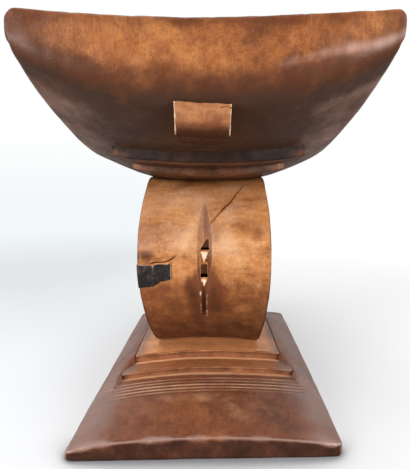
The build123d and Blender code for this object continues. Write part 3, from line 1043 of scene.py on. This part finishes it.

# its marks and its painted light and shade, above and below
scored = np.clip(score / 0.0009, 0, 1)
crest = worn_crest * (w > 0.4)
cut_x = np.abs(x)
out = y - base_middle_y
upper = step(w, 0.02, 0.30)
face = step(end, 0.004, 0.0005) * (1 - crest)
lip = sum(spot(cut_x, at - lip_gap + score_turn, 0.0010) for at, *_ in score_lines)
lip = lip * (y > -0.108) * (y < 0.106)
foot_band = spot(cut_x, 0.1056, 0.0028) * step(np.abs(out), 0.097, 0.092)
scratches = spot(y, -0.006 + (x - 0.17) * 0.9, 0.0010) * spot(x, 0.176, 0.008)
scratches += spot(x, 0.1745, 0.0012) * spot(y, -0.088, 0.010)
knocked = np.clip(knocks / deep_knock, 0, 1)
knock_highlights = knocked * step(end, 0.009, 0.003) * top_face
golden = (0.35 * spot(x, 0.178, 0.02, y, 0.045, 0.03)
          + 0.4 * spot(cut_x, 0.155, 0.012, y, -0.01, 0.05)
          + 0.25 * spot(cut_x, 0.130, 0.014) * (1 - scored))
painted_flank_sheen = (0.80 + 0.22 * waver(x * 0.7, 2.0)) * step(np.abs(out), 0.070, 0.108)
lines_dust_and_sheen = spot(cut_x, 0.130, 0.015) * (1 - scored)
# a painted sheen over the flanks, painted highlights along the crests and their knocks, dust and a
# painted sheen by the scored lines, and a pale line at the foot of the lower step from wear and a
# painted highlight; the ends and the underside are darker
paint(
    base,
    worn=(0.20 + 0.26 * knocked) * crest + 0.25 * worn_side + 0.50 * lip * top_face
    + 0.6 * scratches * top_face + 0.35 * corner * crest,
    fresh=upper * (1.1 * foot_band + 0.62 * lip * top_face + golden),
    stain=0.45 * spot(cut_x, 0.19, 0.014, y, -0.05, 0.03) + 0.5 * face,
    haze=upper * (painted_flank_sheen * (1 - face) * (1 - crest)
                  + 0.85 * crest + 0.60 * knock_highlights + 0.42 * lines_dust_and_sheen),
    grime=0.72 * face + 0.3 * worn_foot + 0.5 * upper * scored * (1 - lip)
    + 0.35 * (1 - upper) * (1 - face),
)
carve(base, depth=0.0010, size=0.035)
finish_piece(base, base_wood, "base_wood", "base")

# ---- plinth ----------------------------------------------------------------------------
# Two low steps carved on the base round the foot of the ring. Their risers are stained and
# darkened with painted shade, the upper tread is golden and brightened with painted light,
# and the lower one is bright only along the foot of the upper step, with wear and a painted
# highlight. Both have dust and a painted sheen towards their ends.
step_tones = {
    "dark": (0.27, 0.085, 0.032), "middle": (0.50, 0.180, 0.062), "light": (0.66, 0.26, 0.090),
    "fresh": (0.84, 0.40, 0.17), "stain": (0.38, 0.145, 0.062), "grime": (0.075, 0.026, 0.013),
    "haze": (0.30, 0.190, 0.150), "worn": (0.98, 0.54, 0.29),
}
upper_brightened_tones = {**step_tones, "fresh": (0.98, 0.42, 0.165)}
tread_deep = 0.020
tread_crest = 0.0013
tread_side = 0.0005
tread_corner = 0.0025
upper_foot_x = 0.0780
ring_foot_x = 0.036
for name, half_length, half_width, height in plinth:
    is_lower = name == "plinth_step_lower"
    tread = block(f"carved_{name}", (140, 90, 10))
    u, v, w = points_of(tread)
    x = half_length * np.sign(u) * np.interp(np.abs(u), (0, 0.2, 0.8, 1), (0, 0.68, 0.85, 1))
    y = half_width * crowd(v)
    end = half_length - np.abs(x)
    side = half_width - np.abs(y)
    above = (1 - crowd_up(w)) * tread_deep
    nose = tread_crest + 0.0005 * waver(y, height * 100)
    end, above, worn_crest = round_edge(end, above, nose)
    side, above, _ = round_edge(side, above, tread_side)
    end, side, _ = round_edge(end, side, tread_corner)
    y = np.sign(y) * (half_width - side)
    x = np.sign(x) * (half_length - end + 0.0005 * waver(y, 1.0 + height * 50))
    z = height - sag(x, y) - above + 0.0004 * waver(y, 8.0)
    set_points(tread, x - squint * y, y + base_middle_y, z)
    out = np.abs(y)
    riser = step(above, 0.0006, 0.0020)
    flat = (1 - riser) * is_lower
    golden = (1 - flat) * (1 - riser)
    upper_foot = spot(np.abs(x), upper_foot_x, 0.0030) * step(out, 0.088, 0.080)
    ring_foot = spot(np.abs(x), ring_foot_x, 0.006)
    ends = step(half_width - out, 0.006, 0.002)
    # the pale foot line is wear and a painted highlight; the upper tread is brightened with
    # painted light, most by the ring's foot; the risers are stained and darkened with painted
    # shade, most at their top and ends; dust and a painted sheen towards the ends
    paint(tread, worn=0.88 * upper_foot * flat,
          fresh=1.5 * upper_foot * flat + (0.70 + 0.4 * ring_foot) * golden * (1 - worn_crest),
          stain=0.50 * flat * (1 - upper_foot) * step(out, 0.095, 0.060) + 1.2 * riser,
          haze=0.85 * flat * step(out, 0.066, 0.088) + 0.75 * golden * step(out, 0.066, 0.082),
          grime=0.75 * worn_crest
          + riser * (0.42 + 0.25 * step(above, 0.006, 0.001) + 0.25 * ends))
    carve(tread, depth=0.0006, size=0.025)
    step_wood = wood_material(
        f"{name}_wood", step_tones if is_lower else upper_brightened_tones, patches=26,
        stretch=(1, 0.5, 1), mottle=0.9, grain=0.22, polish=0.42)
    finish_piece(tread, step_wood, "base_wood", name)

# ---- plate and nails ----------------------------------------------------------------------
# An old repair: a scrap of thin black iron folded round the edge of the split band and held
# by small hand-made nails. It is scratched, dented and torn along its upper edge.
iron, tree = new_material("black_iron")
point = put(tree, "TexCoord", {}).outputs["Object"]
scuffed = put(tree, "Attribute", {}, attribute_name="worn").outputs["Fac"]
rust = put(tree, "TexNoise", {
    "Vector": point, "Scale": 160, "Detail": 6, "Roughness": 0.7}).outputs["Fac"]
black_tone = (0.015, 0.010, 0.009, 1)
rust_tone = (0.065, 0.040, 0.030, 1)
bare_tone = (0.42, 0.34, 0.28, 1)
tone = blend(tree, ease(tree, rust, 0.48, 0.7), black_tone, rust_tone)
bare = math_of(tree, "ADD", scuffed, math_of(tree, "SUBTRACT", rust, 0.5))
tone = blend(tree, ease(tree, bare, 0.35, 0.85), tone, bare_tone)
dull = ease(tree, rust, 0.4, 0.65, 0.36, 0.6)
dents = put(tree, "TexNoise", {"Vector": point, "Scale": 90, "Detail": 2}).outputs["Fac"]
bump = put(tree, "Bump", {"Height": dents, "Strength": 0.5, "Distance": 0.001}).outputs[0]
surface = put(tree, "BsdfPrincipled", {
    "Base Color": tone, "Roughness": dull, "Metallic": 0.3, "Normal": bump}).outputs[0]
put(tree, "OutputMaterial", {"Surface": surface})

plate_inner_y = -0.0375
band_leaf = 0.0372              # how far it runs over the band, and then over the cheek
cheek_leaf = 0.024
plate_thick = 0.0007
plate_off = 0.0003              # its inner face stands this far off the wood
crease = 0.0007
# from its inner end round the fold, in millimetres: its torn upper edge, and its foot
tear_run = (0, 1.5, 4, 9, 15, 18.5, 20.5, 21.3, 22, 37, 61)
tear_z = (156.6, 155.8, 154.4, 155.0, 154.7, 153.6, 151.4, 152.0, 153.4, 153.3, 152.6)
foot_run = (0, 4, 12, 14, 20, 30, 37, 61)
foot_z = (138.2, 137.0, 135.4, 133.2, 129.6, 128.4, 127.4, 128.5)
plate = block("folded_plate", (90, 34, 1))
u, v, w = points_of(plate)
run = (u + 1) / 2 * (band_leaf + cheek_leaf)
tear = np.interp(run * 1000, tear_run, tear_z) / 1000
foot = np.interp(run * 1000, foot_run, foot_z) / 1000
z = foot + (tear - foot) * (v + 1) / 2
fold_at = plate_inner_y - left_cheek(z)
turned = crease * np.logaddexp(0, (run - fold_at) / crease)
folded = 1 / (1 + np.exp(-(run - fold_at) / crease))
dent = 0.00025 * waver(z * 1.7, 1.0) * waver(run * 1.3, 2.0) - 0.0003 * step(run, 0.0195, 0.0210)
raised = plate_off + plate_thick * w + dent * (1 - folded)
z += 0.0002 * waver(run * 2, 4.0)
x = np.sqrt((ring_radius + (1 - folded) * raised) ** 2 - (z - ring_z) ** 2) - turned
y = plate_inner_y - (run - turned) - folded * raised
set_points(plate, x, y, z)
top_edge = spot(v, 1, 0.05)
inner_end = spot(run, 0, 0.0012)
scuffs = ((0.45, 0.006, 0.004, -0.55, 0.1), (0.35, 0.020, 0.003, -0.15, 0.12))
paint(plate, worn=0.85 * top_edge + 0.7 * inner_end + spots(run, v, scuffs)
      + 0.5 * spot(run, 0.0195, 0.0008) * (v > 0.5))
plate.data.flip_normals()
finish_piece(plate, iron, "black_iron", "repair_plate")

nail_radius = 0.0016
nail_height = 0.0008
nail_shank = 0.0007
nail_length = 0.0118
nail_off = 0.0009               # its head stands this far off the wood, on the plate
nails_in_band = ((-0.0660, 0.1465), (-0.0560, 0.1385), (-0.0430, 0.1440))     # Y, Z
nails_in_cheek = ((0.0930, 0.1445), (0.0860, 0.1385))                         # X, Z
places = []
for nail_y, nail_z in nails_in_band:
    rise = nail_z - ring_z
    nail_x = math.sqrt((ring_radius + nail_off) ** 2 - rise**2)
    places.append(((nail_x, nail_y, nail_z), (nail_x, 0, rise)))
for nail_x, nail_z in nails_in_cheek:
    places.append(((nail_x, left_cheek(nail_z) - nail_off, nail_z), (0, -1, 0)))
bpy.ops.object.select_all(action="DESELECT")
for number, (place, facing) in enumerate(places):
    turn = Vector(facing).to_track_quat("Z", "Y").to_matrix().to_4x4()
    aim = Matrix.Translation(place) @ turn
    bpy.ops.mesh.primitive_uv_sphere_add(segments=20, ring_count=12, radius=1, location=(0, 0, 0))
    head = bpy.context.object
    spread = nail_radius * (1 + 0.12 * math.sin(number * 2.1))
    head.data.transform(aim @ Matrix.Diagonal((spread, spread * 0.9, nail_height, 1)))
    bpy.ops.mesh.primitive_cylinder_add(
        vertices=16, radius=nail_shank, depth=nail_length, location=(0, 0, 0))
    shank = bpy.context.object
    shank.data.transform(aim @ Matrix.Translation((0, 0, -nail_length / 2)))
    head.select_set(True)
    shank.select_set(True)
    places[number] = (head, shank)
bpy.ops.object.select_all(action="DESELECT")
for pair in places:
    for part in pair:
        part.select_set(True)
nails = places[0][0]
nails.name = "driven_nails"
bpy.context.view_layer.objects.active = nails
bpy.ops.object.join()
paint(nails, worn=np.full(len(nails.data.vertices), 0.35))
finish_piece(nails, iron, "black_iron", "repair_nails")
